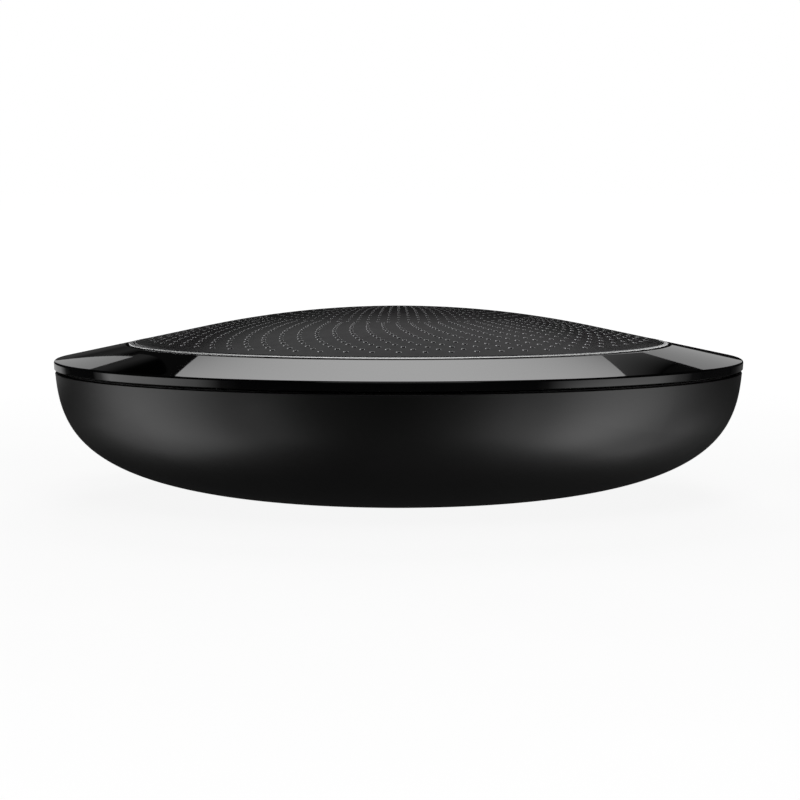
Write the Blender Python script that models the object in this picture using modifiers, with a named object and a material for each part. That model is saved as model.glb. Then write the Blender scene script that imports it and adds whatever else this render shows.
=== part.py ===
"""A round conference speakerphone, modelled as the pieces it comes apart into on a bench.

The frame: the origin is the centre of the foot ring's underside, on the table. +Z is up, the front faces
-Y and the plug recess is at the back, +Y. The loudspeaker's axis is the Z axis.
"""

import math

import bmesh
import bpy
from mathutils import Matrix, Vector

MM = 0.001
GAP = 0.3 * MM  # between pieces that touch on the real object

# Driving dimensions of the outside.
RIM_RADIUS = 60.0 * MM
RIM_TOP_Z = 23.64 * MM
RIM_BAND_HEIGHT = 1.5 * MM
RIM_GAP = 0.47 * MM
CONE_SLOPE = 0.2143  # rise over run of the straight part of the top
CAP_START_RADIUS = 34.8 * MM  # the straight cone runs into a spherical cap here
GRILLE_RADIUS = 46.15 * MM
TRIM_RADIUS = 47.2 * MM
RING_THICKNESS = 1.7 * MM

# The bowl's outline is a rounded box: (r / a)^p + (depth / h)^s = 1, with depth below BOWL_WAIST_Z.
BOWL_WAIST_Z = 33.33 * MM
BOWL_DEPTH = 33.87 * MM
BOWL_POWER_R = 2.755
BOWL_POWER_Z = 4.337
BOWL_BOTTOM_Z = 0.35 * MM
BOWL_TOP_Z = RIM_TOP_Z - RIM_BAND_HEIGHT - RIM_GAP
WALL = 2.0 * MM
FLOOR_Z = BOWL_BOTTOM_Z + WALL

# Foot ring and the four housing screws under it.
FOOT_INNER = 17.0 * MM
FOOT_OUTER = 24.4 * MM
FOOT_HEIGHT = 1.0 * MM
HOUSING_SCREW_RADIUS = 20.7 * MM
HOUSING_SCREW_ANGLES = (60, 120, 240, 300)
SCREW_SHANK = 0.9 * MM
SCREW_CLEARANCE = 1.2 * MM

# Inner frame (chassis and baffle).
BAFFLE_Z = 24.0 * MM
BAFFLE_THICKNESS = 1.4 * MM
BAFFLE_HOLE = 23.5 * MM
SHELF_Z = 19.8 * MM
SHELF_THICKNESS = 1.4 * MM
LIP_TOP_Z = 21.8 * MM

# Loudspeaker.
COIL_RADIUS = 10.15 * MM
CONE_RADIUS = 19.2 * MM
FLANGE_RADIUS = 28.2 * MM
FLANGE_Z = 25.1 * MM
DRIVER_SCREW_RADIUS = 26.4 * MM

# Speaker chamber.
CHAMBER_RADIUS = 31.5 * MM
CHAMBER_WALL = 1.3 * MM
CHAMBER_FLOOR_Z = 8.9 * MM
CHAMBER_TOP_Z = BAFFLE_Z - BAFFLE_THICKNESS - GAP
CHAMBER_SCREW_RADIUS = 34.6 * MM
QUARTER_ANGLES = (45, 135, 225, 315)

# Main board.
BOARD_INNER = 35.5 * MM
BOARD_OUTER = 49.5 * MM
BOARD_Z = 10.4 * MM
BOARD_THICKNESS = 1.2 * MM
BOARD_SCREW_RADIUS = 43.0 * MM
BOARD_SCREW_ANGLES = (35, 150, 270)

# Plug recess at the back, power button beside it.
PORT_Z = 12.3 * MM
RECESS_WIDTH = 13.2 * MM
RECESS_HEIGHT = 6.8 * MM
RECESS_FLOOR_Y = 52.4 * MM
BEZEL_WALL = 0.9 * MM
BUTTON_ANGLE = 115
BUTTON_Z = 13.0 * MM
BUTTON_WIDTH = 12.0 * MM
BUTTON_HEIGHT = 4.0 * MM
BUTTON_PROUD = 0.3 * MM

# Microphones, under holes in the frame's lip that open into the rim gap.
MIC_RADIUS = 55.1 * MM
MIC_ANGLES = (270, 30, 150)
MIC_INLET_RADIUS = 0.5 * MM

RIBBON_ANGLE = 180
ROUND_STEPS = 48
SMALL_STEPS = 28
SCREW_STEPS = 10
HOLE_STEPS = 12
EDGE_TURN = 0.07  # radians, so that a drilled hole's edges miss the edges of the piece it is in


# ---------------------------------------------------------------- helpers


def clear_scene():
    for obj in list(bpy.data.objects):
        bpy.data.objects.remove(obj)


def new_collection(name):
    collection = bpy.data.collections.new(name)
    bpy.context.scene.collection.children.link(collection)
    return collection


def make_material(name, colour, roughness, metallic=0.0):
    material = bpy.data.materials.new(name)
    material.use_nodes = True
    shader = material.node_tree.nodes["Principled BSDF"]
    shader.inputs["Base Color"].default_value = (*colour, 1.0)
    shader.inputs["Roughness"].default_value = roughness
    shader.inputs["Metallic"].default_value = metallic
    material.diffuse_color = (*colour, 1.0)
    return material


def add_object(name, data, collection, material=None):
    obj = bpy.data.objects.new(name, data)
    collection.objects.link(obj)
    if material is not None:
        data.materials.append(material)
    return obj


def at(radius, angle, z):
    turn = math.radians(angle)
    return Vector((radius * math.cos(turn), radius * math.sin(turn), z))


def facing_out(radius, angle, z):
    """A frame whose +Y points away from the axis and whose +Z is up."""
    return Matrix.Translation(at(radius, angle, z)) @ Matrix.Rotation(math.radians(angle - 90), 4, "Z")


def smooth(obj, angle=35):
    obj.data.shade_smooth()
    obj.data.set_sharp_from_angle(angle=math.radians(angle))


def turned(name, profile, collection, material=None, steps=ROUND_STEPS, closed=True):
    """Turns a profile of (radius, z) points about Z. An open profile starts and ends on the axis."""
    mesh = bpy.data.meshes.new(name)
    points = [(radius, 0.0, z) for radius, z in profile]
    edges = [(i, i + 1) for i in range(len(points) - 1)]
    if closed:
        edges.append((len(points) - 1, 0))
    mesh.from_pydata(points, edges, [])
    obj = add_object(name, mesh, collection, material)
    screw = obj.modifiers.new("turn", "SCREW")
    screw.axis = "Z"
    screw.steps = steps
    screw.render_steps = steps
    screw.use_merge_vertices = True
    screw.merge_threshold = 1e-6
    screw.use_smooth_shade = True
    return obj


def box(name, size, collection, material=None, place=None, bevel=0.0, segments=2):
    mesh = bpy.data.meshes.new(name)
    shape = bmesh.new()
    bmesh.ops.create_cube(shape, size=1.0)
    bmesh.ops.scale(shape, vec=size, verts=shape.verts)
    shape.to_mesh(mesh)
    shape.free()
    obj = add_object(name, mesh, collection, material)
    obj.matrix_world = place or Matrix.Identity(4)
    if bevel:
        rounding = obj.modifiers.new("rounding", "BEVEL")
        rounding.width = bevel
        rounding.segments = segments
        rounding.limit_method = "ANGLE"
    return obj


def slab(name, width, height, low_y, high_y, corner, collection, material=None, place=None):
    """A bar along Y with a rounded rectangular section, centred on the Y axis of its frame."""
    mesh = bpy.data.meshes.new(name)
    shape = bmesh.new()
    corner_steps = 4
    ring = []
    for quarter, (sx, sz) in enumerate(((1, 1), (-1, 1), (-1, -1), (1, -1))):
        centre_x = sx * (width / 2 - corner)
        centre_z = sz * (height / 2 - corner)
        for step in range(corner_steps + 1):
            turn = math.pi / 2 * (quarter + step / corner_steps)
            x = centre_x + corner * math.cos(turn)
            z = centre_z + corner * math.sin(turn)
            ring.append(shape.verts.new((x, low_y, z)))
    face = shape.faces.new(ring)
    pushed = bmesh.ops.extrude_face_region(shape, geom=[face])
    moved = [item for item in pushed["geom"] if isinstance(item, bmesh.types.BMVert)]
    bmesh.ops.translate(shape, vec=(0, high_y - low_y, 0), verts=moved)
    bmesh.ops.recalc_face_normals(shape, faces=shape.faces)
    shape.to_mesh(mesh)
    shape.free()
    obj = add_object(name, mesh, collection, material)
    obj.matrix_world = place or Matrix.Identity(4)
    return obj


def rod(name, radius, low_z, high_z, centre, collection, material=None, steps=16):
    mesh = bpy.data.meshes.new(name)
    shape = bmesh.new()
    bmesh.ops.create_cone(
        shape, cap_ends=True, segments=steps, radius1=radius, radius2=radius, depth=high_z - low_z
    )
    shape.to_mesh(mesh)
    shape.free()
    obj = add_object(name, mesh, collection, material)
    obj.location = (centre[0], centre[1], (low_z + high_z) / 2)
    obj.rotation_euler = (0, 0, EDGE_TURN)
    return obj


def wire(name, points, radius, collection, material):
    curve = bpy.data.curves.new(name, "CURVE")
    curve.dimensions = "3D"
    curve.bevel_depth = radius
    curve.bevel_resolution = 1
    curve.use_fill_caps = True
    curve.resolution_u = 2
    spline = curve.splines.new("NURBS")
    spline.points.add(len(points) - 1)
    for point, place in zip(spline.points, points):
        point.co = (*place, 1.0)
    spline.use_endpoint_u = True
    spline.order_u = 3
    return add_object(name, curve, collection, material)


def boolean(obj, other, operation):
    modifier = obj.modifiers.new(f"{operation.lower()}_{other.name}", "BOOLEAN")
    modifier.operation = operation
    modifier.object = other
    modifier.solver = "EXACT"


def cut(obj, *others):
    for other in others:
        boolean(obj, other, "DIFFERENCE")


def join(obj, *others):
    for other in others:
        boolean(obj, other, "UNION")


def drill(obj, name, low_z, high_z, centre, cutters, radius=SCREW_CLEARANCE):
    """A round hole along Z, of a screw's clearance unless told otherwise."""
    cut(obj, rod(name, radius, low_z, high_z, centre, cutters, steps=HOLE_STEPS))


def hide_cutters(collection):
    for obj in collection.objects:
        obj.hide_render = True
        obj.display_type = "WIRE"


# ---------------------------------------------------------------- outline formulas


def bowl_radius(z, inset=0.0):
    depth = (BOWL_WAIST_Z - z) / (BOWL_DEPTH - inset)
    return (RIM_RADIUS - inset) * (1.0 - depth**BOWL_POWER_Z) ** (1.0 / BOWL_POWER_R)


def top_z(radius):
    """Height of the sloping top: a straight cone, then a spherical cap that continues its slope."""
    if radius > CAP_START_RADIUS:
        return RIM_TOP_Z + CONE_SLOPE * (RIM_RADIUS - radius)
    sphere = CAP_START_RADIUS / math.sin(math.atan(CONE_SLOPE))
    sag = math.sqrt(sphere**2 - radius**2) - math.sqrt(sphere**2 - CAP_START_RADIUS**2)
    return RIM_TOP_Z + CONE_SLOPE * (RIM_RADIUS - CAP_START_RADIUS) + sag


def bowl_heights(low, high, count):
    """Heights from high to low, closer together towards the bottom, where the outline turns."""
    return [low + (high - low) * (1.0 - (i / count) ** 0.62) for i in range(count + 1)]


def spread(low, high, count):
    return [low + (high - low) * i / count for i in range(count + 1)]


# ---------------------------------------------------------------- outside pieces


def make_bowl_cutter(name, proud, cutters):
    """The solid inside the bowl's outer face, moved out by proud. Trims what sits flush in the wall."""
    profile = [(0.0, BOWL_TOP_Z)]
    for z in bowl_heights(BOWL_BOTTOM_Z, BOWL_TOP_Z, 18):
        profile.append((bowl_radius(z) + proud, z))
    profile.append((0.0, BOWL_BOTTOM_Z))
    return turned(name, profile, cutters, steps=96, closed=False)


def make_lower_shell(parts, cutters, material):
    seat_radius = 58.9 * MM
    seat_z = 20.6 * MM
    profile = [(0.0, FLOOR_Z)]
    for z in reversed(bowl_heights(FLOOR_Z, seat_z, 6)):
        profile.append((bowl_radius(z, WALL), z))
    profile += [(seat_radius, seat_z), (seat_radius, BOWL_TOP_Z)]
    for z in bowl_heights(BOWL_BOTTOM_Z, BOWL_TOP_Z, 11):
        profile.append((bowl_radius(z), z))
    profile.append((0.0, BOWL_BOTTOM_Z))
    shell = turned("lower_shell", profile, parts, material, closed=False)

    boss_radius = 4.0 * MM
    boss_low, boss_high = 1.6 * MM, 4.2 * MM
    pocket_radius = 2.5 * MM
    pocket_depth = 3.0 * MM
    for angle in HOUSING_SCREW_ANGLES:
        centre = at(HOUSING_SCREW_RADIUS, angle, 0)
        join(shell, rod(f"shell_boss_{angle}", boss_radius, boss_low, boss_high, centre, cutters))
        cut(shell, rod(f"head_pocket_{angle}", pocket_radius, -1.0 * MM, pocket_depth, centre, cutters))
        drill(shell, f"shank_hole_{angle}", 2.0 * MM, 5.0 * MM, centre, cutters)
    post_radius = 2.6 * MM
    post_low = 4.2 * MM
    post_high = BOARD_Z - BOARD_THICKNESS - GAP
    pilot_low = 6.2 * MM
    for angle in BOARD_SCREW_ANGLES:
        centre = at(BOARD_SCREW_RADIUS, angle, 0)
        join(shell, rod(f"board_post_{angle}", post_radius, post_low, post_high, centre, cutters))
        drill(shell, f"board_pilot_{angle}", pilot_low, 10.0 * MM, centre, cutters)

    clearance = 0.3 * MM
    groove = turned(
        "foot_groove",
        [
            (FOOT_OUTER + clearance, FOOT_HEIGHT + clearance),
            (FOOT_OUTER + clearance, -1.0 * MM),
            (FOOT_INNER - clearance, -1.0 * MM),
            (FOOT_INNER - clearance, FOOT_HEIGHT + clearance),
        ],
        cutters,
    )
    port_width = RECESS_WIDTH + 2 * (BEZEL_WALL + GAP)
    port_height = RECESS_HEIGHT + 2 * (BEZEL_WALL + GAP)
    port_place = Matrix.Translation((0, 0, PORT_Z))
    port_window = slab(
        "port_window", port_width, port_height, 48 * MM, 62 * MM, 2.2 * MM, cutters, place=port_place
    )
    button_window = slab(
        "button_window",
        BUTTON_WIDTH + 2 * GAP,
        BUTTON_HEIGHT + 2 * GAP,
        49 * MM,
        62 * MM,
        BUTTON_HEIGHT / 2 + 0.29 * MM,
        cutters,
        place=facing_out(0, BUTTON_ANGLE, BUTTON_Z),
    )
    cut(shell, groove, port_window, button_window)
    return shell


def make_foot_ring(parts, material):
    soft_edge = 0.2 * MM
    profile = [
        (FOOT_OUTER, FOOT_HEIGHT),
        (FOOT_OUTER, soft_edge),
        (FOOT_OUTER - soft_edge, 0.0),
        (FOOT_INNER + soft_edge, 0.0),
        (FOOT_INNER, soft_edge),
        (FOOT_INNER, FOOT_HEIGHT),
    ]
    turned("foot_ring", profile, parts, material)


def make_control_ring(parts, material):
    inner = TRIM_RADIUS + 0.15 * MM
    skirt_outer = 48.7 * MM
    skirt_bottom = 22.2 * MM
    band_bottom = RIM_TOP_Z - RIM_BAND_HEIGHT
    edge = 0.3 * MM
    profile = [
        (inner, top_z(inner)),
        (RIM_RADIUS - edge, top_z(RIM_RADIUS - edge)),
        (RIM_RADIUS - 0.09 * MM, RIM_TOP_Z - 0.08 * MM),
        (RIM_RADIUS, RIM_TOP_Z - edge),
        (RIM_RADIUS - 0.07 * MM, band_bottom),
        (57.9 * MM, band_bottom),
        (57.6 * MM, top_z(57.6 * MM) - RING_THICKNESS),
        (skirt_outer, top_z(skirt_outer) - RING_THICKNESS),
        (skirt_outer, skirt_bottom),
        (inner, skirt_bottom),
    ]
    turned("control_ring", profile, parts, material)


def make_trim_ring(parts, material):
    inner = GRILLE_RADIUS + 0.1 * MM
    outer = TRIM_RADIUS - 0.12 * MM
    bottom = BAFFLE_Z + GAP
    proud = 0.05 * MM
    profile = [
        (inner, top_z(inner) + proud),
        (outer, top_z(outer) + proud),
        (outer, bottom),
        (inner, bottom),
    ]
    turned("trim_ring", profile, parts, material)


def make_speaker_grille(parts, material):
    outer = GRILLE_RADIUS - 0.12 * MM
    skirt_inner = outer - 1.2 * MM
    thickness = 1.0 * MM
    profile = [(0.0, top_z(0.0))]
    profile += [(radius, top_z(radius)) for radius in spread(0.0, outer, 6)[1:]]
    profile += [(outer, BAFFLE_Z + GAP), (skirt_inner, BAFFLE_Z + GAP)]
    profile += [(radius, top_z(radius) - thickness) for radius in spread(skirt_inner, 0.0, 4)]
    turned("speaker_grille", profile, parts, material, closed=False)


def make_acoustic_cloth(parts, material):
    edge = 44.2 * MM
    drop = 1.4 * MM
    thickness = 0.4 * MM
    profile = [(radius, top_z(radius) - drop) for radius in spread(0.0, edge, 3)]
    profile += [(radius, top_z(radius) - drop - thickness) for radius in spread(edge, 0.0, 3)]
    turned("acoustic_cloth", profile, parts, material, closed=False, steps=36)


# ---------------------------------------------------------------- frame and top electronics


def make_top_frame(parts, cutters, material):
    bottom = SHELF_Z - SHELF_THICKNESS
    profile = [
        (58.6 * MM, LIP_TOP_Z),
        (58.6 * MM, 20.9 * MM),
        (56.6 * MM, 20.9 * MM),
        (56.6 * MM, bottom),
        (45.6 * MM, bottom),
        (45.6 * MM, BAFFLE_Z - BAFFLE_THICKNESS),
        (BAFFLE_HOLE, BAFFLE_Z - BAFFLE_THICKNESS),
        (BAFFLE_HOLE, BAFFLE_Z),
        (47.0 * MM, BAFFLE_Z),
        (47.0 * MM, SHELF_Z),
        (54.0 * MM, SHELF_Z),
        (54.0 * MM, LIP_TOP_Z),
    ]
    frame = turned("top_frame", profile, parts, material)
    for angle in QUARTER_ANGLES:
        for label, radius in (("driver", DRIVER_SCREW_RADIUS), ("chamber", CHAMBER_SCREW_RADIUS)):
            centre = at(radius, angle, 0)
            drill(frame, f"baffle_{label}_hole_{angle}", 22 * MM, 25 * MM, centre, cutters)
    for angle in MIC_ANGLES:
        centre = at(MIC_RADIUS, angle, 0)
        drill(frame, f"mic_inlet_{angle}", 17 * MM, 23 * MM, centre, cutters, MIC_INLET_RADIUS)
    slot_size = (9.2 * MM, 4.4 * MM, 5 * MM)
    slot_place = facing_out(49.6 * MM, RIBBON_ANGLE, SHELF_Z)
    cut(frame, box("ribbon_slot", slot_size, cutters, place=slot_place))


def make_touch_board(parts, material):
    low = SHELF_Z + GAP
    high = low + 1.0 * MM
    inner = 47.4 * MM
    outer = 53.6 * MM
    turned("touch_board", [(outer, high), (outer, low), (inner, low), (inner, high)], parts, material)


def make_light_guide(parts, material):
    below_ring = RING_THICKNESS + GAP
    inner = 49.0 * MM
    outer = 53.6 * MM
    bottom = 21.4 * MM
    profile = [
        (outer, top_z(outer) - below_ring),
        (outer, bottom),
        (inner, bottom),
        (inner, top_z(inner) - below_ring),
    ]
    turned("light_guide", profile, parts, material)


def make_touch_ribbon(parts, material):
    """A flat cable from the touch board's underside, through the shelf's slot, to the main board."""
    width = 8.0 * MM
    route = ((50.9, 19.7), (49.2, 19.4), (48.2, 18.0), (47.9, 15.0), (47.6, 12.8), (46.6, 11.4), (44.4, 11.1))
    mesh = bpy.data.meshes.new("touch_ribbon")
    shape = bmesh.new()
    rows = []
    for radius, z in route:
        left = shape.verts.new((-width / 2, radius * MM, z * MM))
        right = shape.verts.new((width / 2, radius * MM, z * MM))
        rows.append((left, right))
    for (left, right), (next_left, next_right) in zip(rows, rows[1:]):
        shape.faces.new((left, right, next_right, next_left))
    shape.to_mesh(mesh)
    shape.free()
    obj = add_object("touch_ribbon", mesh, parts, material)
    obj.matrix_world = facing_out(0, RIBBON_ANGLE, 0)
    thickness = obj.modifiers.new("thickness", "SOLIDIFY")
    thickness.thickness = 0.3 * MM
    thickness.offset = 0.0


def make_microphones(parts, boot_material, metal, board_material):
    boot_bottom = 16.9 * MM
    boot_top = SHELF_Z - SHELF_THICKNESS - GAP
    for number, angle in enumerate(MIC_ANGLES, 1):
        boot = turned(
            f"mic_boot_{number}",
            [(1.3 * MM, boot_top), (1.3 * MM, boot_bottom), (0.6 * MM, boot_bottom), (0.6 * MM, boot_top)],
            parts,
            boot_material,
            steps=16,
        )
        boot.location = at(MIC_RADIUS, angle, 0)
        capsule_place = facing_out(54.4 * MM, angle, 16.1 * MM)
        box(f"mic_capsule_{number}", (3.8 * MM, 3.0 * MM, 1.0 * MM), parts, metal, capsule_place, 0.2 * MM)
        board_place = facing_out(52.0 * MM, angle, 14.9 * MM)
        box(f"mic_board_{number}", (8.0 * MM, 6.0 * MM, 0.8 * MM), parts, board_material, board_place)


# ---------------------------------------------------------------- loudspeaker


def make_driver_basket(parts, cutters, material):
    profile = [
        (FLANGE_RADIUS, FLANGE_Z),
        (FLANGE_RADIUS, 24.3 * MM),
        (22.9 * MM, 24.3 * MM),
        (17.6 * MM, 17.6 * MM),
        (15.0 * MM, 17.6 * MM),
        (14.6 * MM, 14.5 * MM),
        (13.7 * MM, 14.5 * MM),
        (13.7 * MM, 18.4 * MM),
        (16.9 * MM, 18.4 * MM),
        (22.2 * MM, FLANGE_Z),
    ]
    basket = turned("driver_basket", profile, parts, material, steps=36)
    for angle in QUARTER_ANGLES:
        centre = at(DRIVER_SCREW_RADIUS, angle, 0)
        drill(basket, f"flange_hole_{angle}", 23 * MM, 26 * MM, centre, cutters)
    window_size = (15 * MM, 7 * MM, 3.4 * MM)
    for angle in (0, 90, 180, 270):
        window_place = facing_out(20.5 * MM, angle, 21.2 * MM)
        cut(basket, box(f"basket_window_{angle}", window_size, cutters, place=window_place))


def make_motor(parts, steel, magnet_material):
    turned(
        "driver_yoke",
        [
            (0.0, 12.5 * MM),
            (11.4 * MM, 12.5 * MM),
            (11.4 * MM, 17.3 * MM),
            (13.1 * MM, 17.3 * MM),
            (13.4 * MM, 17.0 * MM),
            (13.4 * MM, 11.0 * MM),
            (12.9 * MM, 10.5 * MM),
            (0.0, 10.5 * MM),
        ],
        parts,
        steel,
        steps=SMALL_STEPS,
        closed=False,
    )
    rod("driver_magnet", 9.4 * MM, 12.8 * MM, 15.2 * MM, (0, 0), parts, magnet_material, SMALL_STEPS)
    rod("driver_top_plate", 9.8 * MM, 15.5 * MM, 17.5 * MM, (0, 0), parts, steel, SMALL_STEPS)


def make_cone_group(parts, coil_material, cone_material, cap_material):
    turned(
        "voice_coil",
        [
            (10.55 * MM, 21.2 * MM),
            (10.55 * MM, 18.0 * MM),
            (11.0 * MM, 17.8 * MM),
            (11.0 * MM, 14.8 * MM),
            (10.55 * MM, 14.6 * MM),
            (10.55 * MM, 14.2 * MM),
            (COIL_RADIUS, 14.2 * MM),
            (COIL_RADIUS, 21.2 * MM),
        ],
        parts,
        coil_material,
        steps=SMALL_STEPS,
    )
    flare = 0.55  # how strongly the cone's side curves
    inner = 10.9 * MM
    rise = 4.3 * MM
    base_z = 21.0 * MM

    def side(radius):
        share = (radius - inner) / (CONE_RADIUS - inner)
        return base_z + rise * (share * (1 - flare) + flare * share**2)

    rows = spread(inner, CONE_RADIUS, 3)
    profile = [(radius, side(radius) - 0.35 * MM) for radius in reversed(rows)]
    profile += [(radius, side(radius) + 0.15 * MM) for radius in rows]
    turned("cone", profile, parts, cone_material, steps=36)

    edge = 10.4 * MM
    cap_base = 21.7 * MM
    cap_rise = 2.4 * MM
    cap_rows = spread(0.0, edge, 3)
    profile = [(radius, cap_base + cap_rise * (1 - (radius / edge) ** 2)) for radius in cap_rows]
    profile += [(radius, z - 0.4 * MM) for radius, z in reversed(profile)]
    profile[len(cap_rows)] = (edge, cap_base)
    turned("dust_cap", profile, parts, cap_material, steps=SMALL_STEPS, closed=False)


def make_suspension(parts, rubber, cloth):
    """The half-roll surround at the cone's edge, and the pleated spider at the voice coil."""
    thickness = 0.4 * MM
    roll_inner = 19.6 * MM
    roll_outer = 23.2 * MM
    land_outer = 24.4 * MM
    base = FLANGE_Z + GAP
    rise = 1.9 * MM
    middle = (roll_inner + roll_outer) / 2
    half = (roll_outer - roll_inner) / 2
    steps = 6
    crest = []
    for i in range(steps + 1):
        turn = math.pi * i / steps
        crest.append((middle - half * math.cos(turn), base + rise * math.sin(turn)))
    upper = [(radius, z + thickness) for radius, z in crest] + [(land_outer, base + thickness)]
    lower = [(land_outer, base)] + [(radius, z) for radius, z in reversed(crest)]
    turned("surround", upper + lower, parts, rubber, steps=36)

    pleats = 3
    rows = []
    for i in range(2 * pleats + 1):
        radius = (10.9 + 5.8 * i / (2 * pleats)) * MM
        z = (19.1 + 0.45 * math.sin(math.pi * i / 2.0)) * MM
        rows.append((radius, z))
    upper = [(radius, z + 0.25 * MM) for radius, z in rows]
    lower = [(radius, max(z, 18.7 * MM)) for radius, z in reversed(rows)]
    turned("spider", upper + lower, parts, cloth, steps=SMALL_STEPS)


def make_terminal_strip(parts, material):
    place = facing_out(18.6 * MM, 90, 16.6 * MM)
    box("terminal_strip", (9.0 * MM, 3.6 * MM, 1.2 * MM), parts, material, place, 0.2 * MM)


def make_screw(name, centre, head_z, tip_z, head_radius, parts, material):
    """A pan-head screw that points along Z, from head_z, the underside of its head, to its tip."""
    length = abs(head_z - tip_z)
    head_height = 1.0 * MM
    point = 0.5 * MM
    profile = [
        (0.0, head_height),
        (head_radius * 0.75, head_height),
        (head_radius, head_height * 0.6),
        (head_radius, 0.0),
        (SCREW_SHANK, 0.0),
        (SCREW_SHANK, point - length),
        (0.0, -length),
    ]
    screw = turned(name, profile, parts, material, steps=SCREW_STEPS, closed=False)
    if tip_z > head_z:
        screw.rotation_euler = (math.pi, 0, 0)
    screw.location = (centre[0], centre[1], head_z)


def make_screws(parts, material):
    for number, angle in enumerate(HOUSING_SCREW_ANGLES, 1):
        centre = at(HOUSING_SCREW_RADIUS, angle, 0)
        make_screw(f"housing_screw_{number}", centre, 2.7 * MM, 8.6 * MM, 2.1 * MM, parts, material)
    for number, angle in enumerate(QUARTER_ANGLES, 1):
        centre = at(DRIVER_SCREW_RADIUS, angle, 0)
        make_screw(f"driver_screw_{number}", centre, 25.4 * MM, 22.9 * MM, 1.5 * MM, parts, material)
        centre = at(CHAMBER_SCREW_RADIUS, angle, 0)
        make_screw(f"chamber_screw_{number}", centre, 20.0 * MM, 23.7 * MM, 1.7 * MM, parts, material)
    for number, angle in enumerate(BOARD_SCREW_ANGLES, 1):
        centre = at(BOARD_SCREW_RADIUS, angle, 0)
        make_screw(f"board_screw_{number}", centre, BOARD_Z + GAP, 6.6 * MM, 1.9 * MM, parts, material)


# ---------------------------------------------------------------- chamber, board, battery


def make_speaker_chamber(parts, cutters, material):
    inner = CHAMBER_RADIUS - CHAMBER_WALL
    inner_floor_z = CHAMBER_FLOOR_Z + 1.2 * MM
    chamfer = 1.0 * MM
    profile = [
        (0.0, inner_floor_z),
        (inner, inner_floor_z),
        (inner, CHAMBER_TOP_Z),
        (CHAMBER_RADIUS, CHAMBER_TOP_Z),
        (CHAMBER_RADIUS, CHAMBER_FLOOR_Z + chamfer),
        (CHAMBER_RADIUS - chamfer, CHAMBER_FLOOR_Z),
        (0.0, CHAMBER_FLOOR_Z),
    ]
    chamber = turned("speaker_chamber", profile, parts, material, steps=40, closed=False)
    tab_size = (6.4 * MM, 7.0 * MM, 2.0 * MM)
    for angle in QUARTER_ANGLES:
        tab_place = facing_out(34.2 * MM, angle, CHAMBER_TOP_Z - tab_size[2] / 2)
        join(chamber, box(f"chamber_tab_{angle}", tab_size, cutters, place=tab_place))
        centre = at(CHAMBER_SCREW_RADIUS, angle, 0)
        drill(chamber, f"tab_hole_{angle}", 19 * MM, 24 * MM, centre, cutters)
    boss_radius = 2.7 * MM
    boss_low, boss_high = 4.5 * MM, 9.5 * MM
    pilot_high = 9.2 * MM
    for angle in HOUSING_SCREW_ANGLES:
        centre = at(HOUSING_SCREW_RADIUS, angle, 0)
        join(chamber, rod(f"chamber_boss_{angle}", boss_radius, boss_low, boss_high, centre, cutters))
        drill(chamber, f"chamber_pilot_{angle}", 4.0 * MM, pilot_high, centre, cutters)
    slot_place = Matrix.Translation((0, 0, 14.5 * MM))
    wire_slot = slab("wire_slot", 5.0 * MM, 2.2 * MM, 28 * MM, 34 * MM, 1.0 * MM, cutters, place=slot_place)
    cut(chamber, wire_slot)


def make_main_board(parts, cutters, material):
    low = BOARD_Z - BOARD_THICKNESS
    profile = [(BOARD_OUTER, BOARD_Z), (BOARD_OUTER, low), (BOARD_INNER, low), (BOARD_INNER, BOARD_Z)]
    board = turned("main_board", profile, parts, material)
    for angle in BOARD_SCREW_ANGLES:
        centre = at(BOARD_SCREW_RADIUS, angle, 0)
        drill(board, f"board_hole_{angle}", 8 * MM, 12 * MM, centre, cutters)


def on_board(radius, angle, height):
    """Place of a part of that height, standing on the main board."""
    return facing_out(radius, angle, BOARD_Z + GAP + height / 2)


def make_board_parts(parts, tin, plastic):
    """A shield can, two plugs and the power switch: name, size, radius, angle, material, edge rounding."""
    pieces = (
        ("shield_can", (14.0, 10.0, 2.4), 42.5, 215, tin, 0.3),
        ("battery_connector", (6.4, 4.4, 3.0), 40.0, 0, plastic, 0.2),
        ("speaker_connector", (5.4, 4.0, 3.0), 38.6, 90, plastic, 0.2),
        ("power_switch", (6.2, 3.6, 3.6), 47.5, BUTTON_ANGLE, plastic, 0.0),
    )
    for name, size, radius, angle, material, rounding in pieces:
        place = on_board(radius * MM, angle, size[2] * MM)
        box(name, [side * MM for side in size], parts, material, place, rounding * MM)


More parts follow.
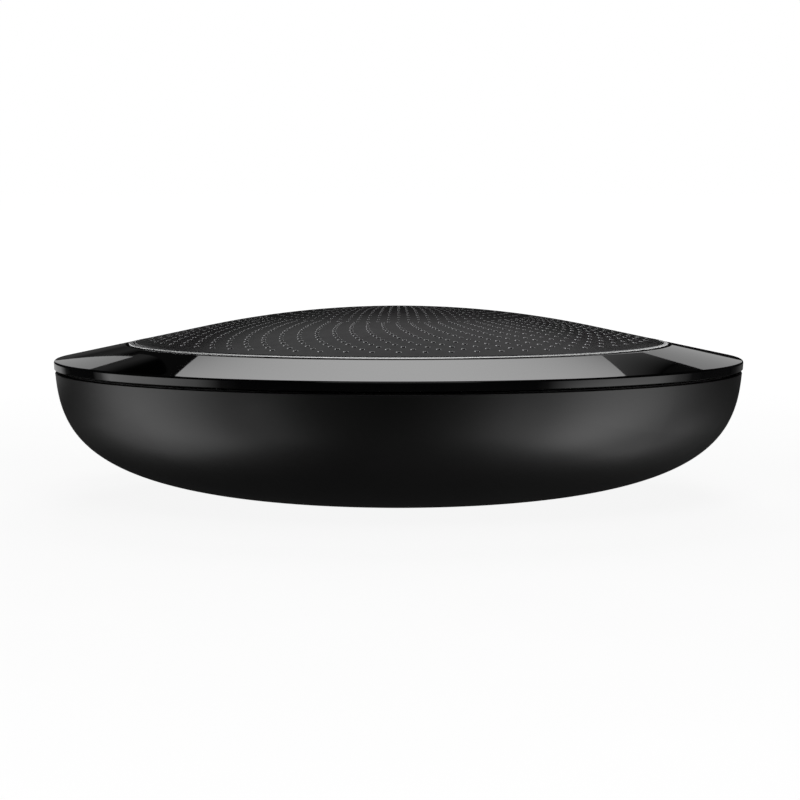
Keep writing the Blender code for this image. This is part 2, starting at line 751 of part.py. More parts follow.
def make_usb_port(parts, cutters, steel, plastic, bezel_material):
    receptacle_width = 8.94 * MM
    receptacle_height = 3.16 * MM
    back_y = 45.0 * MM
    mouth_y = 52.2 * MM
    shell_wall = 0.3 * MM
    place = Matrix.Translation((0, 0, PORT_Z))
    receptacle = slab(
        "usb_c_receptacle", receptacle_width, receptacle_height, back_y, mouth_y, 1.4 * MM, parts, steel, place
    )
    inside = slab(
        "receptacle_inside",
        receptacle_width - 2 * shell_wall,
        receptacle_height - 2 * shell_wall,
        back_y + 0.8 * MM,
        mouth_y + 1 * MM,
        1.1 * MM,
        cutters,
        place=place,
    )
    cut(receptacle, inside)
    tongue_size = (6.6 * MM, 4.6 * MM, 0.7 * MM)
    tongue_place = Matrix.Translation((0, back_y + 3.6 * MM, PORT_Z))
    box("usb_c_tongue", tongue_size, parts, plastic, tongue_place, 0.1 * MM)

    bezel = slab(
        "port_bezel",
        RECESS_WIDTH + 2 * BEZEL_WALL,
        RECESS_HEIGHT + 2 * BEZEL_WALL,
        RECESS_FLOOR_Y - 1.3 * MM,
        61 * MM,
        1.9 * MM,
        parts,
        bezel_material,
        place,
    )
    boolean(bezel, make_bowl_cutter("bezel_trim", 0.0, cutters), "INTERSECT")
    recess = slab(
        "plug_recess", RECESS_WIDTH, RECESS_HEIGHT, RECESS_FLOOR_Y, 64 * MM, 1.2 * MM, cutters, place=place
    )
    aperture = slab("port_aperture", 9.6 * MM, 3.8 * MM, 50 * MM, 54 * MM, 1.5 * MM, cutters, place=place)
    cut(bezel, recess, aperture)


def make_power_button(parts, cutters, material):
    """An oblong key whose face follows the bowl. Its origin is on the line that it slides along."""
    place = facing_out(0, BUTTON_ANGLE, BUTTON_Z)
    centre_y = 54.0 * MM
    button_place = place @ Matrix.Translation((0, centre_y, 0))
    key = slab(
        "power_button",
        BUTTON_WIDTH,
        BUTTON_HEIGHT,
        50.9 * MM - centre_y,
        61 * MM - centre_y,
        BUTTON_HEIGHT / 2 - 0.01 * MM,
        parts,
        material,
        button_place,
    )
    boolean(key, make_bowl_cutter("button_trim", BUTTON_PROUD, cutters), "INTERSECT")
    flange = slab(
        "button_flange", 14.4 * MM, 6.0 * MM, 50.3 * MM, 51.2 * MM, 1.5 * MM, cutters, place=place
    )
    stem = slab("button_stem", 3.0 * MM, 2.0 * MM, 49.85 * MM, 50.6 * MM, 0.4 * MM, cutters, place=place)
    join(key, flange, stem)


def make_battery(parts, wrap):
    size = (44 * MM, 27 * MM, 5.5 * MM)
    box("battery_pack", size, parts, wrap, Matrix.Translation((0, 0, 5.45 * MM)), 1.2 * MM, 3)


def make_wires(parts, red, black):
    """Two leads from the battery to its plug, and two from the loudspeaker's terminals to theirs."""
    lead_radius = 0.45 * MM
    for name, side, material in (("positive", 1, red), ("negative", -1, black)):
        y = side * 1.2 * MM
        route = [
            (22.4 * MM, y, 5.4 * MM),
            (26.0 * MM, y, 5.4 * MM),
            (31.5 * MM, y, 5.4 * MM),
            (33.8 * MM, y, 7.4 * MM),
            (33.6 * MM, y, 10.0 * MM),
            (34.2 * MM, y, 12.6 * MM),
            (35.8 * MM, y, 12.8 * MM),
            (37.4 * MM, y, 12.4 * MM),
        ]
        wire(f"battery_lead_{name}", route, lead_radius, parts, material)
        x = side * 1.2 * MM
        route = [
            (x, 20.9 * MM, 16.6 * MM),
            (x, 23.5 * MM, 16.6 * MM),
            (x, 26.5 * MM, 15.6 * MM),
            (x, 29.5 * MM, 14.5 * MM),
            (x, 33.0 * MM, 14.5 * MM),
            (x, 34.6 * MM, 13.6 * MM),
            (x, 36.2 * MM, 12.6 * MM),
        ]
        wire(f"speaker_wire_{name}", route, lead_radius, parts, material)


# ---------------------------------------------------------------- assembly


def main():
    clear_scene()
    parts = new_collection("conference_speakerphone")
    cutters = new_collection("cutters")

    satin_black = make_material("satin_black_plastic", (0.012, 0.012, 0.013), 0.42)
    gloss_black = make_material("gloss_black_plastic", (0.004, 0.004, 0.004), 0.06)
    grille_grey = make_material("grille_dark_grey", (0.035, 0.035, 0.036), 0.5)
    silver = make_material("brushed_silver", (0.55, 0.55, 0.55), 0.28, 1.0)
    rubber = make_material("black_rubber", (0.015, 0.015, 0.015), 0.8)
    inner_black = make_material("inner_black_plastic", (0.02, 0.02, 0.02), 0.55)
    cloth = make_material("black_acoustic_cloth", (0.012, 0.012, 0.012), 0.95)
    milk = make_material("milky_light_guide", (0.8, 0.8, 0.78), 0.4)
    board = make_material("circuit_board", (0.01, 0.09, 0.04), 0.45)
    steel = make_material("steel", (0.5, 0.5, 0.51), 0.3, 1.0)
    magnet = make_material("magnet_nickel", (0.42, 0.42, 0.41), 0.25, 1.0)
    copper = make_material("copper_winding", (0.6, 0.25, 0.12), 0.35, 1.0)
    paper = make_material("black_cone", (0.02, 0.02, 0.022), 0.75)
    spider = make_material("amber_spider", (0.45, 0.28, 0.1), 0.85)
    ivory = make_material("ivory_plastic", (0.6, 0.57, 0.48), 0.5)
    wrap = make_material("battery_wrap", (0.1, 0.13, 0.2), 0.35)
    red = make_material("red_wire", (0.5, 0.02, 0.02), 0.45)
    black = make_material("black_wire", (0.01, 0.01, 0.01), 0.45)
    amber = make_material("ribbon_film", (0.5, 0.25, 0.04), 0.35)

    make_lower_shell(parts, cutters, satin_black)
    make_foot_ring(parts, rubber)
    make_control_ring(parts, gloss_black)
    make_trim_ring(parts, silver)
    make_speaker_grille(parts, grille_grey)
    make_acoustic_cloth(parts, cloth)
    make_top_frame(parts, cutters, inner_black)
    make_touch_board(parts, board)
    make_light_guide(parts, milk)
    make_touch_ribbon(parts, amber)
    make_microphones(parts, rubber, steel, board)
    make_driver_basket(parts, cutters, steel)
    make_motor(parts, steel, magnet)
    make_cone_group(parts, copper, paper, paper)
    make_suspension(parts, rubber, spider)
    make_terminal_strip(parts, ivory)
    make_screws(parts, steel)
    make_speaker_chamber(parts, cutters, inner_black)
    make_main_board(parts, cutters, board)
    make_board_parts(parts, steel, ivory)
    make_usb_port(parts, cutters, steel, inner_black, inner_black)
    make_power_button(parts, cutters, satin_black)
    make_battery(parts, wrap)
    make_wires(parts, red, black)
    hide_cutters(cutters)

    for obj in parts.objects:
        if obj.type == "MESH":
            smooth(obj)


main()
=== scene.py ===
"""The looks of a round conference speakerphone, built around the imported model.

The visible outside pieces are modelled finely here and stand for their CAD nodes. The inner pieces
keep their CAD meshes and get procedural materials. Metres, +Z up, the front faces -Y.
"""

import math

import bmesh
import bpy
from mathutils import Matrix, Vector
from mathutils.geometry import delaunay_2d_cdt


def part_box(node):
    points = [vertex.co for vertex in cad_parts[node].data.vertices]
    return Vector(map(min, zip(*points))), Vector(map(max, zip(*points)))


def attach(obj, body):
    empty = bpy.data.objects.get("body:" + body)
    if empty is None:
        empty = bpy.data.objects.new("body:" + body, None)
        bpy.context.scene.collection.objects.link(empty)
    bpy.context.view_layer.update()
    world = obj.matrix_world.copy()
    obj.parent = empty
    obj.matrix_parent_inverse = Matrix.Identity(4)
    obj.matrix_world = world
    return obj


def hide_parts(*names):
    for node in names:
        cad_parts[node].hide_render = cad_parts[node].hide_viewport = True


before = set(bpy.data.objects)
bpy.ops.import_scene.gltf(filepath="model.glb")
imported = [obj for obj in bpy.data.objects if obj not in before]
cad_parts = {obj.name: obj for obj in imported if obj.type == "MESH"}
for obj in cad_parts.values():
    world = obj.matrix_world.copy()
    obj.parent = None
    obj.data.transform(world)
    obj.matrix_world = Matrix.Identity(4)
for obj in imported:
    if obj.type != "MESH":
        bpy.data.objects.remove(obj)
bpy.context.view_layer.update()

MM = 0.001
HOUSING = "housing"
KEY = "power_key"

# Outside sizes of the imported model.
RIM_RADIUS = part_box("control_ring")[1].x
SHELL_LOW, SHELL_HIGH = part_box("lower_shell")
TRIM_LOW, TRIM_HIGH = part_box("trim_ring")
GRILLE_LOW, GRILLE_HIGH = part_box("speaker_grille")
FOOT_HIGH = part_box("foot_ring")[1]
RIM_BAND_HEIGHT = 1.5 * MM
RIM_TOP_Z = 23.64 * MM
BAND_BOTTOM_Z = RIM_TOP_Z - RIM_BAND_HEIGHT
CONE_SLOPE = 0.2143
CAP_START_RADIUS = 0.58 * RIM_RADIUS
CAP_SPHERE_RADIUS = CAP_START_RADIUS / math.sin(math.atan(CONE_SLOPE))
TRIM_OUTER = TRIM_HIGH.x
GRILLE_OUTER = GRILLE_HIGH.x
WALL = 2.0 * MM

# The bowl's outline is a superellipse turned about Z. Its centre stands above the rim, and these are
# its centre's height, its depth below that, and the powers of its two terms.
BOWL_WAIST_Z = 33.33 * MM
BOWL_DEPTH = 33.87 * MM
BOWL_POWER_R = 2.755
BOWL_POWER_Z = 4.337


# ---------------------------------------------------------------- outline formulas


def bowl_radius(z, inset=0.0):
    """Radius of the bowl's outer face at this height, or of a face inside it."""
    depth = (BOWL_WAIST_Z - z) / (BOWL_DEPTH - inset)
    return (RIM_RADIUS - inset) * (1.0 - depth**BOWL_POWER_Z) ** (1.0 / BOWL_POWER_R)


def top_z(radius):
    """Height of the sloping top: a straight cone, then a spherical cap that continues its slope."""
    if radius > CAP_START_RADIUS:
        return RIM_TOP_Z + CONE_SLOPE * (RIM_RADIUS - radius)
    start = math.sqrt(CAP_SPHERE_RADIUS**2 - CAP_START_RADIUS**2)
    rise = math.sqrt(CAP_SPHERE_RADIUS**2 - radius**2) - start
    return RIM_TOP_Z + CONE_SLOPE * (RIM_RADIUS - CAP_START_RADIUS) + rise


def circle(x, y, radius, count):
    turns = [2 * math.pi * i / count for i in range(count)]
    return [(x + radius * math.cos(turn), y + radius * math.sin(turn)) for turn in turns]


def arc(centre, radius, start, end, count):
    """Points on an arc from start to end, in degrees."""
    points = []
    for i in range(count + 1):
        turn = math.radians(start + (end - start) * i / count)
        points.append((centre[0] + radius * math.cos(turn), centre[1] + radius * math.sin(turn)))
    return points


def spread(low, high, count):
    """Evenly spaced values, both ends included."""
    return [low + (high - low) * i / count for i in range(count + 1)]


# ---------------------------------------------------------------- mesh helpers


def add_mesh(name, verts, faces, material, smooth_angle=40):
    mesh = bpy.data.meshes.new(name)
    mesh.from_pydata(verts, [], faces)
    if material is not None:
        mesh.materials.append(material)
    mesh.shade_smooth()
    mesh.set_sharp_from_angle(angle=math.radians(smooth_angle))
    obj = bpy.data.objects.new(name, mesh)
    bpy.context.scene.collection.objects.link(obj)
    return obj


def turned(name, profile, material, steps=192, smooth_angle=40):
    """Turns a closed profile of (radius, z) points about Z. A point on the axis becomes one vertex."""
    verts = []
    rows = []
    for radius, z in profile:
        if radius < 1e-7:
            rows.append([len(verts)] * steps)
            verts.append((0.0, 0.0, z))
            continue
        rows.append(list(range(len(verts), len(verts) + steps)))
        verts += [(x, y, z) for x, y in circle(0.0, 0.0, radius, steps)]
    faces = []
    for row, below in zip(rows, rows[1:] + rows[:1]):
        for i in range(steps):
            j = (i + 1) % steps
            corners = []
            for corner in (row[i], below[i], below[j], row[j]):
                if corner not in corners:
                    corners.append(corner)
            if len(corners) > 2:
                faces.append(corners)
    return add_mesh(name, verts, faces, material, smooth_angle)


def facing_out(radius, angle, z):
    """A frame whose +Y points away from the axis and whose +Z is up."""
    turn = math.radians(angle)
    place = Matrix.Translation((radius * math.cos(turn), radius * math.sin(turn), z))
    return place @ Matrix.Rotation(turn - math.pi / 2, 4, "Z")


def bar(name, width, height, low_y, high_y, corner, material, place, corner_steps=8):
    """A bar along Y with a rounded rectangular section."""
    ring = []
    for quarter, (sx, sz) in enumerate(((1, 1), (-1, 1), (-1, -1), (1, -1))):
        centre = (sx * (width / 2 - corner), sz * (height / 2 - corner))
        ring += arc(centre, corner, 90 * quarter, 90 * (quarter + 1), corner_steps)
    count = len(ring)
    verts = [(x, low_y, z) for x, z in ring] + [(x, high_y, z) for x, z in ring]
    faces = [list(range(count)), list(range(2 * count - 1, count - 1, -1))]
    for i in range(count):
        j = (i + 1) % count
        faces.append([i, i + count, j + count, j])
    obj = add_mesh(name, verts, faces, material)
    obj.data.transform(place)
    return obj


def boolean(obj, other, operation):
    """Cuts or joins obj's mesh with the other object, which is then removed."""
    modifier = obj.modifiers.new(operation.lower(), "BOOLEAN")
    modifier.operation = operation
    modifier.object = other
    modifier.solver = "EXACT"
    bpy.context.view_layer.update()
    graph = bpy.context.evaluated_depsgraph_get()
    mesh = bpy.data.meshes.new_from_object(obj.evaluated_get(graph))
    obj.modifiers.remove(modifier)
    obj.data = mesh
    bpy.data.objects.remove(other)


def soften(obj, width, segments=2):
    rounding = obj.modifiers.new("edges", "BEVEL")
    rounding.width = width
    rounding.segments = segments
    rounding.limit_method = "ANGLE"
    rounding.angle_limit = math.radians(40)
    rounding.harden_normals = True
    return obj


def settle(obj, body, node):
    """Puts a piece on its body in place of its CAD node."""
    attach(obj, body)
    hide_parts(node)
    return obj


# ---------------------------------------------------------------- materials


class Shader:
    """A Principled material and the few node recipes that the materials below share."""

    def __init__(self, name, colour, roughness, metallic=0.0):
        self.material = bpy.data.materials.new(name)
        self.material.use_nodes = True
        self.tree = self.material.node_tree
        self.surface = self.tree.nodes["Principled BSDF"]
        self.surface.inputs["Base Color"].default_value = (*colour, 1.0)
        self.surface.inputs["Roughness"].default_value = roughness
        self.surface.inputs["Metallic"].default_value = metallic
        self.colour = colour
        self.roughness = roughness
        self.height = None

    def node(self, kind, **inputs):
        made = self.tree.nodes.new(kind)
        for label, value in inputs.items():
            made.inputs[label.replace("_", " ")].default_value = value
        return made

    def link(self, source, target):
        self.tree.links.new(source, target)

    def position(self):
        return self.node("ShaderNodeTexCoord").outputs["Object"]

    def noise(self, scale, detail=2.0, stretch=None):
        made = self.node("ShaderNodeTexNoise", Scale=scale, Detail=detail)
        if stretch is None:
            self.link(self.position(), made.inputs["Vector"])
        else:
            mapping = self.node("ShaderNodeMapping", Scale=stretch)
            self.link(self.position(), mapping.inputs["Vector"])
            self.link(mapping.outputs["Vector"], made.inputs["Vector"])
        return made.outputs["Fac"]

    def spread_of(self, source, low, high):
        """Maps a noise value, which lies mostly between 0.25 and 0.75, onto low to high."""
        made = self.node("ShaderNodeMapRange")
        made.inputs["From Min"].default_value = 0.25
        made.inputs["From Max"].default_value = 0.75
        made.inputs["To Min"].default_value = low
        made.inputs["To Max"].default_value = high
        self.link(source, made.inputs["Value"])
        return made.outputs["Result"]

    def vary_colour(self, source, other):
        """Colour runs between the base colour and another one."""
        made = self.tree.nodes.new("ShaderNodeMix")
        made.data_type = "RGBA"
        made.inputs["A"].default_value = (*self.colour, 1.0)
        made.inputs["B"].default_value = (*other, 1.0)
        self.link(source, made.inputs["Factor"])
        self.link(made.outputs["Result"], self.surface.inputs["Base Color"])
        return self

    def vary_roughness(self, source, low, high):
        self.link(self.spread_of(source, low, high), self.surface.inputs["Roughness"])
        return self

    def bump(self, source, distance, strength=1.0):
        made = self.node("ShaderNodeBump", Strength=strength, Distance=distance)
        self.link(source, made.inputs["Height"])
        if self.height is not None:
            self.link(self.height, made.inputs["Normal"])
        self.height = made.outputs["Normal"]
        self.link(self.height, self.surface.inputs["Normal"])
        return self


def satin_black():
    """Moulded plastic with a very fine spark-eroded grain."""
    shader = Shader("satin_black", (0.0028, 0.0028, 0.0029), 0.37)
    grain = shader.noise(4200.0, 3.0)
    shader.vary_roughness(shader.noise(60.0, 3.0), 0.35, 0.39)
    shader.vary_colour(shader.noise(1500.0), (0.0038, 0.0038, 0.0039))
    shader.bump(grain, 0.012 * MM, 0.5)
    return shader.material


def gloss_black():
    """Polished black plastic with the faintest orange peel and handling haze."""
    shader = Shader("gloss_black", (0.0025, 0.0025, 0.0027), 0.02)
    shader.vary_roughness(shader.noise(90.0, 4.0), 0.015, 0.03)
    shader.vary_colour(shader.noise(25.0), (0.004, 0.004, 0.0042))
    shader.bump(shader.noise(350.0, 1.0), 0.002 * MM, 0.06)
    return shader.material


def grille_black(name, tone, roughness, low_angle_tint):
    """Black anodised metal: dark from above, with a dull sheen at a low angle."""
    shader = Shader(name, (tone, tone, tone * 1.02), roughness, 1.0)
    shader.surface.inputs["Specular Tint"].default_value = (*[low_angle_tint] * 3, 1.0)
    shader.vary_roughness(shader.noise(500.0, 3.0), roughness - 0.03, roughness + 0.03)
    shader.vary_colour(shader.noise(900.0, 2.0), (tone * 1.25, tone * 1.25, tone * 1.28))
    shader.bump(shader.noise(2600.0, 2.0), 0.004 * MM, 0.2)
    return shader.material


def brushed_silver():
    """Fine turning marks run round the ring."""
    shader = Shader("brushed_silver", (0.86, 0.86, 0.865), 0.22, 1.0)
    radius = shader.node("ShaderNodeVectorMath")
    radius.operation = "LENGTH"
    flat = shader.node("ShaderNodeVectorMath")
    flat.operation = "MULTIPLY"
    flat.inputs[1].default_value = (1.0, 1.0, 0.0)
    shader.link(shader.position(), flat.inputs[0])
    shader.link(flat.outputs["Vector"], radius.inputs[0])
    lines = shader.node("ShaderNodeTexNoise", Scale=16000.0, Detail=2.0)
    lines.noise_dimensions = "1D"
    shader.link(radius.outputs["Value"], lines.inputs["W"])
    shader.vary_roughness(lines.outputs["Fac"], 0.18, 0.27)
    shader.vary_colour(lines.outputs["Fac"], (0.76, 0.76, 0.765))
    shader.bump(lines.outputs["Fac"], 0.004 * MM, 0.4)
    return shader.material


def rubber(name, colour=(0.012, 0.012, 0.012)):
    shader = Shader(name, colour, 0.72)
    shader.vary_roughness(shader.noise(300.0, 3.0), 0.62, 0.82)
    shader.vary_colour(shader.noise(120.0, 3.0), tuple(1.7 * c for c in colour))
    shader.bump(shader.noise(2200.0, 2.0), 0.02 * MM, 0.5)
    return shader.material


def moulded(name, colour, roughness=0.5, change=1.3):
    shader = Shader(name, colour, roughness)
    shader.vary_roughness(shader.noise(200.0, 3.0), roughness - 0.06, roughness + 0.08)
    shader.vary_colour(shader.noise(40.0, 3.0), tuple(min(1.0, change * c) for c in colour))
    shader.bump(shader.noise(1800.0, 2.0), 0.015 * MM, 0.4)
    return shader.material


# Blender's wave texture draws about this many bands in a metre at a scale of 1, counting both edges.
WAVE_BANDS_PER_SCALE = 6.0


def woven(name, colour, threads=2600.0):
    """A plain weave from two crossing waves, with this many threads in a metre."""
    shader = Shader(name, colour, 0.9)
    shader.surface.inputs["Sheen Weight"].default_value = 0.3
    both = shader.node("ShaderNodeMath")
    both.operation = "MULTIPLY"
    for entry, bands in enumerate(("X", "Y")):
        wave = shader.tree.nodes.new("ShaderNodeTexWave")
        wave.bands_direction = bands
        wave.inputs["Scale"].default_value = threads / WAVE_BANDS_PER_SCALE
        shader.link(shader.position(), wave.inputs["Vector"])
        shader.link(wave.outputs["Fac"], both.inputs[entry])
    shader.vary_colour(both.outputs["Value"], tuple(2.2 * c for c in colour))
    shader.bump(both.outputs["Value"], 0.05 * MM, 0.6)
    return shader.material


def plated(name, colour, roughness):
    """Rolled or plated metal with fine drawn marks."""
    shader = Shader(name, colour, roughness, 1.0)
    marks = shader.noise(1500.0, 3.0, (1.0, 1.0, 8.0))
    shader.vary_roughness(marks, roughness - 0.08, roughness + 0.1)
    shader.vary_colour(shader.noise(80.0, 3.0), tuple(0.8 * c for c in colour))
    shader.bump(marks, 0.004 * MM, 0.4)
    return shader.material


def circuit_board():
    """Green solder mask with faint copper tracks under it."""
    shader = Shader("circuit_board", (0.006, 0.07, 0.025), 0.38)
    tracks = shader.tree.nodes.new("ShaderNodeTexBrick")
    tracks.inputs["Scale"].default_value = 260.0
    tracks.inputs["Mortar Size"].default_value = 0.04
    tracks.inputs["Color1"].default_value = (0.0, 0.0, 0.0, 1.0)
    tracks.inputs["Color2"].default_value = (0.15, 0.15, 0.15, 1.0)
    tracks.inputs["Mortar"].default_value = (1.0, 1.0, 1.0, 1.0)
    shader.link(shader.position(), tracks.inputs["Vector"])
    shader.vary_colour(tracks.outputs["Color"], (0.012, 0.14, 0.05))
    shader.vary_roughness(shader.noise(300.0), 0.32, 0.46)
    shader.bump(tracks.outputs["Color"], 0.02 * MM, 0.5)
    return shader.material


def winding():
    """Copper wire turns, seen as fine rings up the coil."""
    shader = Shader("copper_winding", (0.62, 0.24, 0.1), 0.3, 1.0)
    turns = shader.tree.nodes.new("ShaderNodeTexWave")
    turns.bands_direction = "Z"
    turns.inputs["Scale"].default_value = 900.0
    shader.link(shader.position(), turns.inputs["Vector"])
    shader.vary_colour(turns.outputs["Fac"], (0.35, 0.1, 0.04))
    shader.bump(turns.outputs["Fac"], 0.05 * MM, 0.8)
    return shader.material


def light_guide():
    shader = Shader("milky_guide", (0.78, 0.78, 0.75), 0.35)
    shader.surface.inputs["Subsurface Weight"].default_value = 0.3
    shader.surface.inputs["Subsurface Radius"].default_value = (0.002, 0.002, 0.002)
    shader.vary_roughness(shader.noise(400.0), 0.3, 0.45)
    shader.vary_colour(shader.noise(90.0), (0.7, 0.7, 0.66))
    return shader.material


# ---------------------------------------------------------------- outside pieces


def bowl(material):
    """The lower shell's turned wall and floor, with the groove for the foot ring."""
    top = SHELL_HIGH.z
    edge = 0.22 * MM
    bottom = SHELL_LOW.z
    seat_radius = 58.9 * MM
    seat_z = 20.6 * MM
    floor_z = bottom + WALL
    outer_top = bowl_radius(top)
    inner_rows = 28
    outer_rows = 64
    # The rows crowd towards the bottom, where the outline curves most.
    crowding = 1.7
    profile = [(0.0, floor_z)]
    for i in range(inner_rows + 1):
        z = floor_z + (seat_z - floor_z) * (i / inner_rows) ** crowding
        profile.append((bowl_radius(z, WALL), z))
    profile += [(seat_radius, seat_z), (seat_radius, top)]
    profile += arc((outer_top - edge, top - edge), edge, 90, 0, 6)
    for i in range(1, outer_rows + 1):
        z = bottom + (top - edge - bottom) * (1 - i / outer_rows) ** crowding
        profile.append((bowl_radius(z), z))
    groove_outer = FOOT_HIGH.x + 0.3 * MM
    groove_inner = 16.7 * MM
    groove_top = FOOT_HIGH.z + 0.3 * MM
    profile += [(groove_outer, bottom), (groove_outer, groove_top), (groove_inner, groove_top)]
    profile += [(groove_inner, bottom), (0.0, bottom)]
    return turned("bowl", profile, material, 256, 30)


def gloss_ring(material):
    """The glossy touch ring: a bevelled inner edge, the sloping top, a rounded rim and the narrow band."""
    inner = TRIM_OUTER + 0.27 * MM
    edge = 0.38 * MM
    lean = math.degrees(math.atan(CONE_SLOPE))
    band_radius = RIM_RADIUS - 0.07 * MM
    chamfer = 0.3 * MM
    sheet = 1.7 * MM
    rim_inner = 57.6 * MM
    wall_outer = 48.7 * MM
    wall_bottom = 22.2 * MM
    start = inner + chamfer
    flat_start = start + 0.03 * MM
    top_end = RIM_RADIUS - edge
    before_end = top_end - 0.05 * MM
    profile = [(inner, top_z(inner) - 0.4 * MM), (start - 0.04 * MM, top_z(start) - 0.06 * MM)]
    profile += [(start, top_z(start) - 0.01 * MM), (flat_start, top_z(flat_start))]
    profile += [(r, top_z(r)) for r in spread(inner + 0.7 * MM, RIM_RADIUS - 0.8 * MM, 12)]
    profile += [(before_end, top_z(before_end))]
    crest = (top_end, top_z(top_end) - edge / math.cos(math.radians(lean)))
    profile += arc(crest, edge, 90 - lean, 0, 8)
    profile += [(band_radius, BAND_BOTTOM_Z + 0.1 * MM), (band_radius - 0.1 * MM, BAND_BOTTOM_Z)]
    profile += [(rim_inner + 0.3 * MM, BAND_BOTTOM_Z), (rim_inner, top_z(rim_inner) - sheet)]
    profile += [(wall_outer, top_z(wall_outer) - sheet), (wall_outer, wall_bottom), (inner, wall_bottom)]
    return turned("gloss_ring", profile, material, 384, 30)


def silver_ring(face_material, gap_shade_material):
    """A polished top with rounded edges. The sides that stand in the gaps get a dark material, which paints
    the shade of the gaps.
    """
    inner = GRILLE_OUTER + 0.22 * MM
    outer = TRIM_OUTER
    edge = 0.12 * MM
    lift = 0.04 * MM
    profile = arc((inner + edge, top_z(inner + edge) + lift - edge), edge, 180, 100, 5)
    profile += arc((outer - edge, top_z(outer - edge) + lift - edge), edge, 80, 0, 5)
    profile += [(outer, TRIM_LOW.z), (inner, TRIM_LOW.z)]
    ring = turned("silver_ring", profile, face_material, 384, 50)
    ring.data.materials.append(gap_shade_material)
    # Faces that point sideways or down take the dark material: painted shade in the gaps beside the ring.
    for polygon in ring.data.polygons:
        polygon.material_index = int(polygon.normal.z < 0.05)
    return ring


def foot_pad(material):
    """Rubber foot ring with two shallow grooves round its underside."""
    inner = 17.0 * MM
    outer = FOOT_HIGH.x
    edge = 0.25 * MM
    profile = [(inner, FOOT_HIGH.z), (outer, FOOT_HIGH.z)]
    profile += arc((outer - edge, edge), edge, 0, -90, 4)
    mouth = 0.4 * MM
    root = 0.25 * MM
    depth = 0.3 * MM
    for groove in (22.2 * MM, 19.2 * MM):
        profile += [(groove + mouth, 0.0), (groove + root, depth)]
        profile += [(groove - root, depth), (groove - mouth, 0.0)]
    profile += arc((inner + edge, edge), edge, -90, -180, 4)
    return turned("foot_pad", profile, material, 192, 35)


# The grille's holes, with radii as shares of the rim's.
ARMS = 64
ARMS_START = 0.721
ARMS_END = 0.4
ARMS_STRAIGHT_AT = 0.36
SWIRL = math.radians(136.0)
ROW_RATIO = 0.9645
INNER_RINGS = 14
RING_PITCH = 0.018
RING_PITCH_GROWTH = 0.0007
OUTER_HOLE = 0.32 * MM
OUTER_HOLE_TAPER = 0.9
INNER_HOLE = 0.17 * MM

# A hole's rounded rim reaches out to this many times the hole's radius.
RIM_REACH = 1.4


def swirl(radius):
    """How far the arms of holes have turned at this radius."""
    share = radius / RIM_RADIUS
    return SWIRL * ((share - ARMS_STRAIGHT_AT) ** 2 - (ARMS_START - ARMS_STRAIGHT_AT) ** 2)


def hole_layout():
    """Centres and radii of the holes: curved arms outside, then rings of six more holes each."""
    holes = []
    outer = ARMS_START * RIM_RADIUS
    radius = outer
    while radius > ARMS_END * RIM_RADIUS:
        size = OUTER_HOLE * (radius / outer) ** OUTER_HOLE_TAPER
        for arm in range(ARMS):
            turn = 2 * math.pi * arm / ARMS + swirl(radius)
            holes.append((radius * math.sin(turn), -radius * math.cos(turn), size))
        radius *= ROW_RATIO
    holes.append((0.0, 0.0, INNER_HOLE))
    for ring in range(1, INNER_RINGS + 1):
        count = 6 * ring
        radius = (RING_PITCH * ring + RING_PITCH_GROWTH * ring**2) * RIM_RADIUS
        for i in range(count):
            turn = 2 * math.pi * i / count
            holes.append((radius * math.sin(turn), -radius * math.cos(turn), INNER_HOLE))
    return holes


def dome_normal(x, y):
    """The dome's own normal above this point."""
    radius = math.hypot(x, y)
    if radius < 1e-9:
        return Vector((0.0, 0.0, 1.0))
    if radius > CAP_START_RADIUS:
        slope = CONE_SLOPE
    else:
        slope = radius / math.sqrt(CAP_SPHERE_RADIUS**2 - radius**2)
    return Vector((slope * x / radius, slope * y / radius, 1.0)).normalized()


